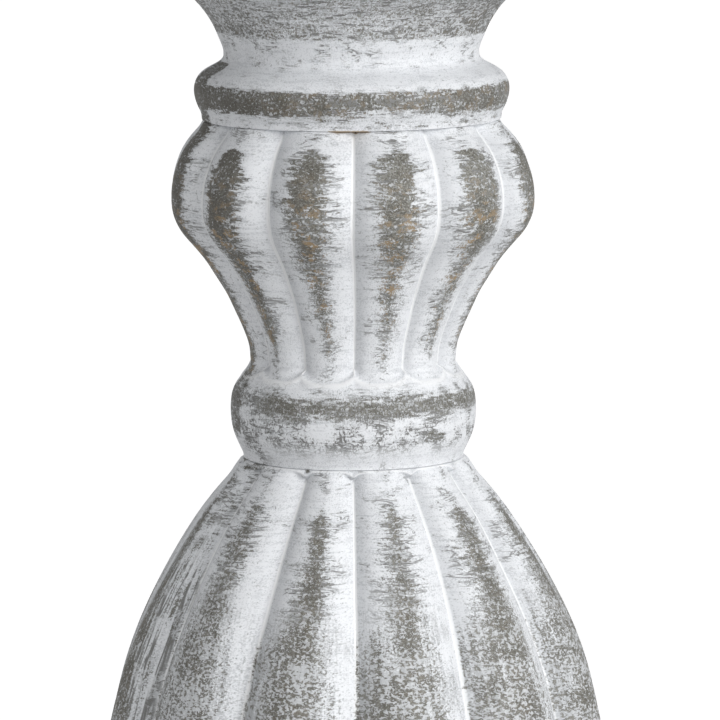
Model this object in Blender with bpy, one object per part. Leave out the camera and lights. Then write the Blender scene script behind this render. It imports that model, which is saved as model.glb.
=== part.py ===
"""A turned and carved wooden candlestick for one pillar candle.

Four turned blocks stand on each other, centred by round dowels: a foot, a large fluted bulb on
its bead, a small fluted bulb on its bead, and a dish on a bead and a coved neck. The dish carries a
loose metal drip pan, which lifts off over a screwed-in spike. Three screws hold the foot, and
four felt pads are under it. The origin is on the axis, at the surface that the pads stand on.
Every outline is a list of (radius, height) points that starts and ends on the axis.
"""

import math

import bmesh
import bpy
from mathutils import Matrix, Vector

# Heights above the standing surface, in metres.
PAD_THICKNESS = 0.0020
FOOT_TOP = 0.0330
LOWER_BULB_TOP = 0.1795
UPPER_BULB_TOP = 0.2745
DISH_TOP = 0.3300
SPIKE_TIP = 0.3520

# The space left between two pieces that touch, which the glue fills.
GAP = 0.0003

# Flutes: a valley faces the front, and each lobe between two valleys is a rounded rib.
FLUTES = 12
FLUTE_DEPTH = 0.080
FLUTE_END_DEPTH = 0.060
STEPS_PER_LOBE = 4
ROUND_SIDES = 36
SMALL_SIDES = 12

# Widest radii.
FOOT_RADIUS = 0.0750
BASE_BEAD_RADIUS = 0.0535
LOWER_BULB_RADIUS = 0.0717
MIDDLE_BEAD_RADIUS = 0.0346
UPPER_BULB_RADIUS = 0.0520
UPPER_BEAD_RADIUS = 0.0441
DISH_RADIUS = 0.0675

# Dowels, one across each joint between two blocks.
DOWEL_RADIUS = 0.0100
DOWEL_LENGTH = 0.0400
DOWEL_CHAMFER = 0.0010

# The recess in the dish, and the drip pan in it.
RECESS_RADIUS = 0.0510
RECESS_DEPTH = 0.0045
PAN_SHEET = 0.0010
PAN_FLOOR_RADIUS = 0.0445
PAN_RIM_RADIUS = 0.0492
PAN_HEIGHT = 0.0080
PAN_HOLE_RADIUS = 0.0030

# The spike and its wood-screw shank.
SPIKE_RADIUS = 0.0024
SPIKE_SHANK_RADIUS = 0.0020
SPIKE_THREAD_RADIUS = 0.0028
SPIKE_THREAD_PITCH = 0.0025
SPIKE_THREAD_TURNS = 7
SPIKE_COLLAR_RADIUS = 0.0080
SPIKE_COLLAR_THICKNESS = 0.0025
SPIKE_SHANK_LENGTH = 0.0240

# Countersunk screws that hold the foot to the large bulb.
SCREWS = 3
SCREW_CIRCLE = 0.0240
SCREW_LENGTH = 0.0450
SCREW_RADIUS = 0.0022
SCREW_HEAD_RADIUS = 0.0046
SCREW_HEAD_HEIGHT = 0.0026
SCREW_SINK = 0.0012
SCREW_HOLE_RADIUS = 0.0026
SCREW_SLOT_WIDTH = 0.0012

# Felt pads.
PADS = 4
PAD_CIRCLE = 0.0600
PAD_RADIUS = 0.0090


def clear_scene():
    for obj in list(bpy.data.objects):
        bpy.data.objects.remove(obj, do_unlink=True)


def finish(name, colour, roughness, metallic=0.0):
    """A plain Principled material."""
    material = bpy.data.materials.new(name)
    material.use_nodes = True
    shader = material.node_tree.nodes["Principled BSDF"]
    shader.inputs["Base Color"].default_value = (*colour, 1.0)
    shader.inputs["Roughness"].default_value = roughness
    shader.inputs["Metallic"].default_value = metallic
    return material


def smooth(points, steps):
    """A Catmull-Rom curve through the points, with steps stretches between each two."""
    knots = [Vector(p) for p in points]
    ends = [2 * knots[0] - knots[1], *knots, 2 * knots[-1] - knots[-2]]
    curve = [knots[0]]
    for before, start, end, after in zip(ends, ends[1:], ends[2:], ends[3:]):
        for step in range(1, steps + 1):
            t = step / steps
            out = (end - before) / 2
            into = (after - start) / 2
            curve.append(
                start * (2 * t**3 - 3 * t**2 + 1)
                + out * (t**3 - 2 * t**2 + t)
                + end * (3 * t**2 - 2 * t**3)
                + into * (t**3 - t**2)
            )
    return [tuple(p) for p in curve]


def arc(centre, radius, start, end, steps):
    """Points on a circle of the outline's plane, between two angles in degrees."""
    angles = [math.radians(start + (end - start) * i / steps) for i in range(steps + 1)]
    return [(centre[0] + radius * math.cos(a), centre[1] + radius * math.sin(a)) for a in angles]


def raised(points, height):
    return [(radius, z + height) for radius, z in points]


def spun(outline, sides):
    """A closed body made by spinning an outline round Z."""
    body = bmesh.new()
    corners = [body.verts.new((radius, 0, z)) for radius, z in outline]
    edges = [body.edges.new(pair) for pair in zip(corners, corners[1:])]
    bmesh.ops.spin(
        body,
        geom=corners + edges,
        cent=(0, 0, 0),
        axis=(0, 0, 1),
        angle=math.tau,
        steps=sides,
        use_merge=True,
    )
    bmesh.ops.remove_doubles(body, verts=body.verts, dist=1e-6)
    bmesh.ops.recalc_face_normals(body, faces=body.faces)
    return body


def carve_flutes(body, depths):
    """Draws the skin in between the lobes. depths holds (height, share of the radius) points,
    and the skin outside those heights, and all that is inside the dowel bore, stays round."""
    half_lobe = math.pi / FLUTES
    bore = DOWEL_RADIUS + 2 * GAP
    for vert in body.verts:
        radius = vert.co.xy.length
        depth = 0.0
        for (low, at_low), (high, at_high) in zip(depths, depths[1:]):
            if low - 1e-6 <= vert.co.z <= high + 1e-6:
                depth = at_low + (at_high - at_low) * (vert.co.z - low) / (high - low)
        if radius > bore and depth > 0:
            from_crest = math.atan2(vert.co.y, vert.co.x) % (2 * half_lobe) - half_lobe
            shrink = 1 - depth * (from_crest / half_lobe) ** 2
            vert.co.x *= shrink
            vert.co.y *= shrink


def piece(name, body, material, sharp_degrees=35):
    """Makes the node of that name from a bmesh."""
    mesh = bpy.data.meshes.new(name)
    body.to_mesh(mesh)
    body.free()
    mesh.shade_smooth()
    mesh.set_sharp_from_angle(angle=math.radians(sharp_degrees))
    mesh.materials.append(material)
    obj = bpy.data.objects.new(name, mesh)
    bpy.context.scene.collection.objects.link(obj)
    return obj


def cut(obj, cutter):
    """Cuts a hidden helper out of a piece."""
    cutter.hide_render = True
    cutter.display_type = "WIRE"
    boolean = obj.modifiers.new("cut_" + cutter.name, "BOOLEAN")
    boolean.object = cutter
    boolean.operation = "DIFFERENCE"
    boolean.solver = "EXACT"


def bore_up(face):
    """The outline of a dowel's blind bore that opens downwards, from the axis to its mouth."""
    end = face + DOWEL_LENGTH / 2 + GAP
    return [(0, end), (DOWEL_RADIUS + GAP, end), (DOWEL_RADIUS + GAP, face)]


def bore_down(face):
    """The same for a bore that opens upwards, from its mouth to the axis."""
    end = face - DOWEL_LENGTH / 2 - GAP
    return [(DOWEL_RADIUS + GAP, face), (DOWEL_RADIUS + GAP, end), (0, end)]


def screw_places():
    turns = [math.tau * i / SCREWS + math.pi / 2 for i in range(SCREWS)]
    return [(SCREW_CIRCLE * math.cos(a), SCREW_CIRCLE * math.sin(a)) for a in turns]


def make_foot(wood):
    """The foot: a rounded rim, and a cove up to the joint."""
    bottom = PAD_THICKNESS + GAP
    rim = raised(
        [
            *arc((FOOT_RADIUS - 0.0030, 0.0030), 0.0030, -90, 0, 2),
            *arc((FOOT_RADIUS - 0.0030, 0.0080), 0.0030, 0, 90, 2),
            (FOOT_RADIUS - 0.0045, 0.0118),
        ],
        bottom,
    )
    cove = smooth(
        [
            (FOOT_RADIUS - 0.0045, bottom + 0.0118),
            (0.0610, 0.0170),
            (0.0520, 0.0220),
            (0.0475, 0.0275),
            (0.0460, FOOT_TOP),
        ],
        1,
    )
    outline = [(0, bottom), *rim[:-1], *cove, *bore_down(FOOT_TOP)]
    foot = piece("foot", spun(outline, ROUND_SIDES), wood)
    hole_top = FOOT_TOP + 0.01
    head_radius = SCREW_HEAD_RADIUS + GAP
    seat = bottom + SCREW_SINK
    for number, (x, y) in enumerate(screw_places(), 1):
        hole = spun(
            [
                (0, bottom - 0.01),
                (head_radius, bottom - 0.01),
                (head_radius, seat),
                (SCREW_HOLE_RADIUS, seat + SCREW_HEAD_HEIGHT),
                (SCREW_HOLE_RADIUS, hole_top),
                (0, hole_top),
            ],
            SMALL_SIDES,
        )
        cutter = piece(f"foot_hole_{number}", hole, wood)
        cutter.location = (x, y, 0)
        cut(foot, cutter)


def make_lower_bulb(wood):
    """The large bulb, widest low down, carved in one block with the bead below it."""
    face = FOOT_TOP + GAP
    waist = (0.0490, 0.0530)
    bead = smooth(
        [
            (0.0460, face),
            (0.0518, 0.0380),
            (BASE_BEAD_RADIUS, 0.0430),
            (0.0522, 0.0490),
            waist,
        ],
        1,
    )
    bulb = smooth(
        [
            waist,
            (0.0600, 0.0640),
            (0.0688, 0.0790),
            (LOWER_BULB_RADIUS, 0.0950),
            (0.0686, 0.1160),
            (0.0602, 0.1380),
            (0.0480, 0.1590),
            (0.0392, 0.1705),
            (0.0310, LOWER_BULB_TOP),
        ],
        1,
    )
    outline = [*bore_up(face), *bead, *bulb[1:], *bore_down(LOWER_BULB_TOP)]
    body = spun(outline, FLUTES * STEPS_PER_LOBE)
    carve_flutes(
        body,
        [
            (waist[1], FLUTE_END_DEPTH),
            (0.0700, FLUTE_DEPTH),
            (0.1600, FLUTE_DEPTH),
            (LOWER_BULB_TOP, FLUTE_END_DEPTH),
        ],
    )
    bulb = piece("lower_bulb", body, wood)
    for number, (x, y) in enumerate(screw_places(), 1):
        pilot_top = PAD_THICKNESS + SCREW_SINK + SCREW_LENGTH + 0.002
        pilot = spun(
            [
                (0, face - 0.01),
                (SCREW_HOLE_RADIUS, face - 0.01),
                (SCREW_HOLE_RADIUS, pilot_top),
                (0, pilot_top),
            ],
            SMALL_SIDES,
        )
        cutter = piece(f"pilot_hole_{number}", pilot, wood)
        cutter.location = (x, y, 0)
        cut(bulb, cutter)


def make_upper_bulb(wood):
    """The small bulb, widest high up, carved in one block with the bead below it."""
    face = LOWER_BULB_TOP + GAP
    waist = (0.0285, 0.2060)
    bead = smooth(
        [
            (0.0300, face),
            (0.0334, 0.1855),
            (MIDDLE_BEAD_RADIUS, 0.1935),
            (0.0332, 0.2000),
            waist,
        ],
        1,
    )
    bulb = smooth(
        [
            waist,
            (0.0312, 0.2133),
            (0.0362, 0.2250),
            (0.0435, 0.2358),
            (0.0503, 0.2448),
            (UPPER_BULB_RADIUS, 0.2520),
            (0.0505, 0.2625),
            (0.0426, UPPER_BULB_TOP),
        ],
        1,
    )
    outline = [*bore_up(face), *bead, *bulb[1:], *bore_down(UPPER_BULB_TOP)]
    body = spun(outline, FLUTES * STEPS_PER_LOBE)
    carve_flutes(
        body,
        [
            (waist[1], FLUTE_END_DEPTH),
            (0.2180, FLUTE_DEPTH),
            (0.2650, FLUTE_DEPTH),
            (UPPER_BULB_TOP, FLUTE_END_DEPTH),
        ],
    )
    piece("upper_bulb", body, wood)


def make_dish(wood):
    """The dish, with the bead and the coved neck that carry it."""
    face = UPPER_BULB_TOP + GAP
    bead = smooth(
        [
            (0.0404, face),
            (0.0432, 0.2786),
            (UPPER_BEAD_RADIUS, 0.2823),
            (0.0424, 0.2870),
            (0.0357, 0.2925),
        ],
        1,
    )
    cove = smooth(
        [
            (0.0357, 0.2925),
            (0.0370, 0.2975),
            (0.0403, 0.3043),
            (0.0470, 0.3110),
            (0.0560, 0.3158),
            (DISH_RADIUS - 0.0045, 0.3185),
        ],
        1,
    )
    lip = arc((DISH_RADIUS - 0.0055, DISH_TOP - 0.0055), 0.0055, -70, 90, 4)
    floor = DISH_TOP - RECESS_DEPTH
    seat = floor - SPIKE_COLLAR_THICKNESS - 2 * GAP
    collar_radius = SPIKE_COLLAR_RADIUS + GAP
    screw_radius = SPIKE_THREAD_RADIUS + GAP
    screw_end = seat - SPIKE_SHANK_LENGTH - GAP
    inside = [
        (RECESS_RADIUS, DISH_TOP),
        (RECESS_RADIUS, floor),
        (collar_radius, floor),
        (collar_radius, seat),
        (screw_radius, seat),
        (screw_radius, screw_end),
        (0, screw_end),
    ]
    outline = [*bore_up(face), *bead, *cove[1:], *lip, *inside]
    piece("dish", spun(outline, ROUND_SIDES), wood)


def make_dowel(name, joint, wood):
    """A hardwood dowel across the joint at that height, with chamfered ends."""
    low = joint + GAP / 2 - DOWEL_LENGTH / 2
    high = low + DOWEL_LENGTH
    end_radius = DOWEL_RADIUS - DOWEL_CHAMFER
    outline = [
        (0, low),
        (end_radius, low),
        (DOWEL_RADIUS, low + DOWEL_CHAMFER),
        (DOWEL_RADIUS, high - DOWEL_CHAMFER),
        (end_radius, high),
        (0, high),
    ]
    piece(name, spun(outline, SMALL_SIDES), wood)


def make_screw(number, place, steel):
    """A countersunk wood screw that points up, with a slot across its head."""
    head = PAD_THICKNESS + GAP + SCREW_SINK
    outline = [
        (0, head),
        (SCREW_HEAD_RADIUS, head),
        (SCREW_HEAD_RADIUS, head + 0.0003),
        (SCREW_RADIUS, head + SCREW_HEAD_HEIGHT),
        (SCREW_RADIUS, head + SCREW_LENGTH - 0.0060),
        (0.0003, head + SCREW_LENGTH),
        (0, head + SCREW_LENGTH),
    ]
    screw = piece(f"foot_screw_{number}", spun(outline, SMALL_SIDES), steel)
    screw.location = (*place, 0)
    slot = bmesh.new()
    size = (3 * SCREW_HEAD_RADIUS, SCREW_SLOT_WIDTH, SCREW_SLOT_WIDTH * 2)
    shape = Matrix.Translation((0, 0, head)) @ Matrix.Diagonal((*size, 1))
    bmesh.ops.create_cube(slot, size=1, matrix=shape)
    cutter = piece(f"screw_slot_{number}", slot, steel)
    cutter.location = screw.location
    cutter.rotation_euler.z = math.radians(40 * number)
    cut(screw, cutter)


def make_pad(number, felt):
    turn = math.tau * (number - 0.5) / PADS
    outline = [(0, 0), (PAD_RADIUS, 0), (PAD_RADIUS, PAD_THICKNESS), (0, PAD_THICKNESS)]
    pad = piece(f"felt_pad_{number}", spun(outline, 2 * SMALL_SIDES), felt)
    pad.location = (PAD_CIRCLE * math.cos(turn), PAD_CIRCLE * math.sin(turn), 0)


def make_drip_pan(tin):
    """A pressed round pan with a flared wall, and a hole for the spike."""
    low = DISH_TOP - RECESS_DEPTH + GAP
    rim = low + PAN_HEIGHT
    outer = [
        (PAN_HOLE_RADIUS, low),
        *arc((PAN_FLOOR_RADIUS - 0.0030, low + 0.0030), 0.0030, -90, -15, 2),
        (PAN_RIM_RADIUS, rim - 0.0005),
    ]
    inner = [
        (PAN_RIM_RADIUS - PAN_SHEET, rim),
        *arc((PAN_FLOOR_RADIUS - 0.0030, low + 0.0030), 0.0020, -15, -90, 2),
        (PAN_HOLE_RADIUS, low + PAN_SHEET),
    ]
    outline = [*outer, *inner, outer[0]]
    piece("drip_pan", spun(outline, ROUND_SIDES), tin)


def make_spike(steel):
    """The spike, its collar, and a shank with a coarse wood thread."""
    seat = DISH_TOP - RECESS_DEPTH - SPIKE_COLLAR_THICKNESS - GAP
    collar_top = seat + SPIKE_COLLAR_THICKNESS
    end = seat - SPIKE_SHANK_LENGTH
    outline = [(0, end), (0.0006, end)]
    thread_top = seat - 0.0030
    for turn in range(SPIKE_THREAD_TURNS):
        crest = thread_top - (SPIKE_THREAD_TURNS - turn - 0.5) * SPIKE_THREAD_PITCH
        outline += [
            (SPIKE_SHANK_RADIUS, crest - SPIKE_THREAD_PITCH * 0.35),
            (SPIKE_THREAD_RADIUS, crest),
            (SPIKE_SHANK_RADIUS, crest + SPIKE_THREAD_PITCH * 0.35),
        ]
    outline += [
        (SPIKE_SHANK_RADIUS, seat),
        (SPIKE_COLLAR_RADIUS, seat),
        (SPIKE_COLLAR_RADIUS, collar_top - 0.0005),
        (SPIKE_COLLAR_RADIUS - 0.0005, collar_top),
        (SPIKE_RADIUS, collar_top),
        (SPIKE_RADIUS, collar_top + 0.0060),
        (0.0003, SPIKE_TIP),
        (0, SPIKE_TIP),
    ]
    piece("spike", spun(outline, SMALL_SIDES), steel)


def main():
    clear_scene()
    painted = finish("whitewashed_wood", (0.60, 0.61, 0.61), 0.75)
    hardwood = finish("dowel_wood", (0.58, 0.42, 0.26), 0.65)
    tin = finish("pan_metal", (0.45, 0.45, 0.44), 0.40, 1.0)
    steel = finish("spike_steel", (0.50, 0.50, 0.50), 0.35, 1.0)
    zinc = finish("screw_steel", (0.62, 0.60, 0.52), 0.35, 1.0)
    felt = finish("felt", (0.16, 0.17, 0.16), 0.95)

    make_foot(painted)
    make_lower_bulb(painted)
    make_upper_bulb(painted)
    make_dish(painted)
    make_dowel("foot_dowel", FOOT_TOP, hardwood)
    make_dowel("middle_dowel", LOWER_BULB_TOP, hardwood)
    make_dowel("dish_dowel", UPPER_BULB_TOP, hardwood)
    for number, place in enumerate(screw_places(), 1):
        make_screw(number, place, zinc)
    for number in range(1, PADS + 1):
        make_pad(number, felt)
    make_drip_pan(tin)
    make_spike(steel)


main()
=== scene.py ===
"""The looks of a turned and carved wooden candlestick in worn white paint over grey.

The wooden blocks are turned from a disc, ring by ring, and their lobes are carved into the turned
blank. Each carries its wear as values on its points: how far the paint is rubbed through, which
way it was brushed, and where bare wood shows; and where shade and highlights are painted into
the white. One paint material reads them.
"""

import math

import bpy
from mathutils import Matrix, Vector, noise


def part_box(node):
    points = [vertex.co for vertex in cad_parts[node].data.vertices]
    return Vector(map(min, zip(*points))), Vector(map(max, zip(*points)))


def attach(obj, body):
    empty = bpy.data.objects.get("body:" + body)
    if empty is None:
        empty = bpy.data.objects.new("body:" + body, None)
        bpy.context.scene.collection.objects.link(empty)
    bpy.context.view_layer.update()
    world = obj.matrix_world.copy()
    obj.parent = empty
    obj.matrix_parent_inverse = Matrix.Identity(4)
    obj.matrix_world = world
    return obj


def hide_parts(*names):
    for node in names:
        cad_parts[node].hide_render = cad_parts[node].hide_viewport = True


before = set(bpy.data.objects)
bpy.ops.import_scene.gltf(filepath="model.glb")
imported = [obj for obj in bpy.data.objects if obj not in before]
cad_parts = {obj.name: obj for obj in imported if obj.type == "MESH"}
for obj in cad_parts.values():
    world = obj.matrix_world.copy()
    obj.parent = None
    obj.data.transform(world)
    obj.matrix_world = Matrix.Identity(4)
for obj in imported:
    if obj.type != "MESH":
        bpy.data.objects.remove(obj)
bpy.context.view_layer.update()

# Heights and radii read from the frame. A block's face is the top of its wood.
FOOT_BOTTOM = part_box("foot")[0].z
FOOT_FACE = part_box("foot")[1].z
LOWER_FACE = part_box("lower_bulb")[1].z
UPPER_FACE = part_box("upper_bulb")[1].z
DISH_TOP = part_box("dish")[1].z
FOOT_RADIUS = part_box("foot")[1].x
PAN_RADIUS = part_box("drip_pan")[1].x
PAN_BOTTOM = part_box("drip_pan")[0].z
PAN_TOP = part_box("drip_pan")[1].z
DISH_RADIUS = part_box("dish")[1].x

# The gap that the frame leaves between pieces that touch. Two blocks are drawn to its middle, so
# that they meet, and the recess of the dish lies as far below the pan.
GAP = 0.0003
HALF_GAP = GAP / 2
RECESS_FLOOR = PAN_BOTTOM - GAP

# Turning: the corners of a ring, how often a block is smoothed, and the radius at which the end
# faces of a block start.
SIDES = 96
FINE_LEVELS = 2
CORE_RADIUS = 0.0200

# Carving: nothing inside the uncarved radius is cut.
UNCARVED_RADIUS = 0.022
LOBES = 12
LOBE_ANGLE = math.tau / LOBES

# The mean radius that the brush marks are laid out on.
REACH = 0.045


# ---------------------------------------------------------------- shapes


def smooth(points, steps):
    """A Catmull-Rom curve through the points, with steps stretches between each two."""
    knots = [Vector(p) for p in points]
    ends = [2 * knots[0] - knots[1], *knots, 2 * knots[-1] - knots[-2]]
    curve = [knots[0]]
    for before, start, end, after in zip(ends, ends[1:], ends[2:], ends[3:]):
        for step in range(1, steps + 1):
            t = step / steps
            curve.append(
                start * (2 * t**3 - 3 * t**2 + 1)
                + (end - before) / 2 * (t**3 - 2 * t**2 + t)
                + end * (3 * t**2 - 2 * t**3)
                + (after - start) / 2 * (t**3 - t**2)
            )
    return [tuple(p) for p in curve]


def arc(centre, radius, start, end, steps):
    """Points along an arc, between two angles in degrees."""
    angles = [math.radians(start + (end - start) * i / steps) for i in range(steps + 1)]
    return [(centre[0] + radius * math.cos(a), centre[1] + radius * math.sin(a)) for a in angles]


def ease(low, high, value):
    """0 below low, 1 above high, and smooth in between."""
    t = min(max((value - low) / (high - low), 0.0), 1.0)
    return t * t * (3 - 2 * t)


def spot(value, middle, reach):
    """1 at the middle, falling to 0 at reach."""
    return ease(1.0, 0.0, abs(value - middle) / reach)


def ridge(value, middle, width):
    """1 at the middle, falling off as a bell does."""
    return math.exp(-(((value - middle) / width) ** 2))


def between(value, points):
    """Reads a value off a line through (place, value) points."""
    if value <= points[0][0]:
        return points[0][1]
    for (low, at_low), (high, at_high) in zip(points, points[1:]):
        if value <= high:
            return at_low + (at_high - at_low) * (value - low) / (high - low)
    return points[-1][1]


def draw_out(name, outline, sides):
    """A circle drawn out, ring by ring, through an outline of (radius, height) points."""
    radius, height = outline[0]
    bpy.ops.object.select_all(action="DESELECT")
    bpy.ops.mesh.primitive_circle_add(vertices=sides, radius=radius, location=(0, 0, height))
    piece = bpy.context.object
    piece.name = piece.data.name = name
    bpy.ops.object.transform_apply(location=True, rotation=True, scale=True)
    bpy.ops.object.mode_set(mode="EDIT")
    bpy.ops.mesh.select_all(action="SELECT")
    for next_radius, next_height in outline[1:]:
        bpy.ops.mesh.extrude_edges_move(
            TRANSFORM_OT_translate={"value": (0, 0, next_height - height)}
        )
        share = next_radius / radius
        bpy.ops.transform.resize(value=(share, share, 1), center_override=(0, 0, next_height))
        radius, height = next_radius, next_height
    bpy.ops.object.mode_set(mode="OBJECT")
    return piece


def turn(name, outline, sides=SIDES, levels=FINE_LEVELS):
    """A closed turned body. The outline runs from one flat end of the body to the other, and each
    end is closed by a fan of faces once the body is smooth."""
    piece = draw_out(name, outline, sides)
    if levels:
        refine(piece, levels)
    bpy.ops.object.mode_set(mode="EDIT")
    bpy.ops.mesh.select_all(action="SELECT")
    bpy.ops.mesh.fill_holes(sides=0)
    bpy.ops.mesh.select_all(action="DESELECT")
    bpy.ops.mesh.select_mode(type="FACE")
    bpy.ops.mesh.select_face_by_sides(number=4, type="GREATER")
    bpy.ops.mesh.poke()
    bpy.ops.mesh.select_all(action="SELECT")
    bpy.ops.mesh.normals_make_consistent(inside=False)
    bpy.ops.object.mode_set(mode="OBJECT")
    bpy.ops.object.shade_smooth()
    return piece


def refine(piece, levels):
    """Smooths a piece with an applied Subdivision Surface."""
    bpy.context.view_layer.objects.active = piece
    fine = piece.modifiers.new("fine", "SUBSURF")
    fine.levels = fine.render_levels = levels
    bpy.ops.object.modifier_apply(modifier=fine.name)


def lobe_place(point):
    """Which lobe a point is on, and where across it: 0 on its crest, -1 and 1 in its valleys.
    A valley faces the front."""
    turns = math.atan2(point.x, -point.y) / LOBE_ANGLE
    lobe = math.floor(turns)
    return lobe % LOBES, 2 * (turns - lobe) - 1


def carve(piece, share, low, high):
    """Cuts the lobes: share(across, height) is what is left of the radius."""
    for vertex in piece.data.vertices:
        point = vertex.co
        if low < point.z < high and point.xy.length > UNCARVED_RADIUS:
            left = share(lobe_place(point)[1], point.z)
            point.x *= left
            point.y *= left
    piece.data.update()


def round_lobe(across):
    """How far a lobe's surface has fallen from its crest, 0, to its valley, 1: a round back with
    steep flanks."""
    steep = (1 - math.sqrt(1 - 0.93 * across**2)) / (1 - math.sqrt(0.07))
    return 0.6 * across**2 + 0.4 * steep


def crisp_valleys(piece, low, high):
    """Marks the edges along the valleys as sharp, so that each valley is one clean line."""
    bpy.ops.object.select_all(action="DESELECT")
    piece.select_set(True)
    bpy.context.view_layer.objects.active = piece
    bpy.ops.object.mode_set(mode="EDIT")
    bpy.ops.mesh.select_mode(type="EDGE")
    bpy.ops.mesh.select_all(action="DESELECT")
    bpy.ops.object.mode_set(mode="OBJECT")
    in_valley = [
        low < v.co.z < high
        and v.co.xy.length > UNCARVED_RADIUS
        and abs(lobe_place(v.co)[1]) > 0.99
        for v in piece.data.vertices
    ]
    for edge in piece.data.edges:
        edge.select = all(in_valley[i] for i in edge.vertices)
    bpy.ops.object.mode_set(mode="EDIT")
    bpy.ops.mesh.mark_sharp()
    bpy.ops.object.mode_set(mode="OBJECT")


def work_by_hand(piece, seed, sideways, depth, turned_by=0.0):
    """Makes the turned and carved surface a little uneven, as work by hand is."""
    for vertex in piece.data.vertices:
        point = vertex.co
        away = Vector((point.x, point.y, point.z * 0.6)) * 32 + Vector((seed, 0, 0))
        reach = ease(0.012, 0.028, point.xy.length)
        turn_by = (sideways * noise.noise(away) + turned_by) * reach
        swell = 1 + depth * noise.noise(away * 1.7 + Vector((0, seed, 0))) * reach
        turned = Matrix.Rotation(turn_by, 2) @ point.xy
        point.x = turned.x * swell
        point.y = turned.y * swell
    piece.data.update()


def record_wear(piece, outline, wear):
    """Writes the wear of each point: wear(lobe, across, point) gives a value for each name. Writes
    how far along the outline it lies too, where the outline keeps climbing."""
    points = piece.data.vertices
    values = [wear(*lobe_place(v.co), v.co) for v in points]
    climb = [(outline[0][1], outline[0][1])]
    for start, end in zip(outline, outline[1:]):
        if end[1] > climb[-1][0] + 0.00002:
            climb.append((end[1], climb[-1][1] + math.dist(start, end)))
    for value, point in zip(values, points):
        value["along"] += between(point.co.z, climb)
    for name in values[0]:
        layer = piece.data.attributes.new(name, "FLOAT", "POINT")
        layer.data.foreach_set("value", [v[name] for v in values])


# ---------------------------------------------------------------- shader maths

WEAR_NAMES = (
    "rub",  # how far the paint is rubbed away: worn through from one half up
    "drag",  # strokes that run along the axis, not round it
    "dry",  # broken, speckled edges
    "bare",  # tan wood in the grey
    "deep",  # darker grey
    "stain",  # glue, and near 1 the painted shade of a pinhole
    "valley",  # thick clean paint, painted whiter as a highlight line
    "cracks",  # fine dark lines along the strokes
    "crackle",  # fine dark lines all over
    "shade",  # painted shade: grey on the left flank of each lobe, beside its valley
    "raw",  # no paint at all
)


class Field:
    """A socket of a material. Arithmetic on it adds Math nodes."""

    def __init__(self, paint, socket):
        self.paint = paint
        self.socket = socket

    def maths(self, operation, *values):
        return self.paint.node("ShaderNodeMath", {"operation": operation}, *values)

    def root(self):
        return self.maths("SQRT", self)

    def larger(self, other):
        return self.maths("MAXIMUM", self, other)

    def __add__(self, other):
        return self.maths("ADD", self, other)

    def __sub__(self, other):
        return self.maths("SUBTRACT", self, other)

    def __mul__(self, other):
        return self.maths("MULTIPLY", self, other)

    def __truediv__(self, other):
        return self.maths("DIVIDE", self, other)

    def __rsub__(self, other):
        return self.maths("SUBTRACT", other, self)

    def __rtruediv__(self, other):
        return self.maths("DIVIDE", other, self)

    def __abs__(self):
        return self.maths("ABSOLUTE", self)

    __radd__ = __add__
    __rmul__ = __mul__


class Paint:
    """A material under construction."""

    def __init__(self, name):
        self.material = bpy.data.materials.new(name)
        self.material.use_nodes = True
        self.tree = self.material.node_tree
        self.shader = self.tree.nodes["Principled BSDF"]

    def node(self, kind, settings, *values, output=0, **named):
        """Adds a node: its settings first, then the values or links of its sockets."""
        made = self.tree.nodes.new(kind)
        for key, value in settings.items():
            setattr(made, key, value)
        sockets = list(enumerate(values)) + [(k.replace("_", " "), v) for k, v in named.items()]
        for place, value in sockets:
            self.put(made.inputs[place], value)
        return Field(self, made.outputs[output])

    def put(self, socket, value):
        if isinstance(value, Field):
            self.tree.links.new(value.socket, socket)
        elif value is not None:
            socket.default_value = value

    def place(self):
        return self.node("ShaderNodeTexCoord", {}, output="Object")

    def split(self, vector):
        parts = self.tree.nodes.new("ShaderNodeSeparateXYZ")
        self.put(parts.inputs[0], vector)
        return [Field(self, parts.outputs[i]) for i in range(3)]

    def vector(self, x, y, z):
        return self.node("ShaderNodeCombineXYZ", {}, x, y, z)

    def scaled(self, vector, sizes, shift=(0, 0, 0)):
        """Coordinates in which one unit is as long as the sizes say."""
        factors = tuple(1 / s for s in sizes)
        return self.node(
            "ShaderNodeVectorMath", {"operation": "MULTIPLY_ADD"}, vector, factors, shift
        )

    def attribute(self, name):
        return self.node("ShaderNodeAttribute", {"attribute_name": name}, output="Fac")

    def clouds(self, vector, detail=2.0, rough=0.5, warp=0.0):
        """Noise round zero, one unit of the coordinates across."""
        made = self.node(
            "ShaderNodeTexNoise",
            {"noise_dimensions": "3D"},
            Vector=vector,
            Scale=1.0,
            Detail=detail,
            Roughness=rough,
            Distortion=warp,
        )
        return made - 0.5

    def threads(self, vector, thin, thick, *settings):
        """1 on the thin lines along which a noise is zero."""
        return 1 - self.ease(thin, thick, abs(self.clouds(vector, *settings)))

    def ease(self, low, high, value):
        """0 below low, 1 above high, and smooth in between."""
        return self.node(
            "ShaderNodeMapRange",
            {"interpolation_type": "SMOOTHSTEP"},
            Value=value,
            From_Min=low,
            From_Max=high,
        )

    def mix(self, share, one, other):
        """One colour at share 0, the other at share 1."""
        made = self.tree.nodes.new("ShaderNodeMix")
        made.data_type = "RGBA"
        self.put(made.inputs[0], share)
        self.put(made.inputs[6], one)
        self.put(made.inputs[7], other)
        return Field(self, made.outputs[2])

    def bump(self, height, depth, strength=1.0):
        return self.node(
            "ShaderNodeBump", {}, Strength=strength, Distance=depth, Height=height, output="Normal"
        )

    def finish(self, **sockets):
        for name, value in sockets.items():
            self.put(self.shader.inputs[name.replace("_", " ")], value)
        return self.material


def colour(red, green, blue):
    """A colour given as the 0 to 255 values that a screen shows."""
    shown = [c / 255 for c in (red, green, blue)]
    linear = [c / 12.92 if c < 0.04 else ((c + 0.055) / 1.055) ** 2.4 for c in shown]
    return (*linear, 1.0)
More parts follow.
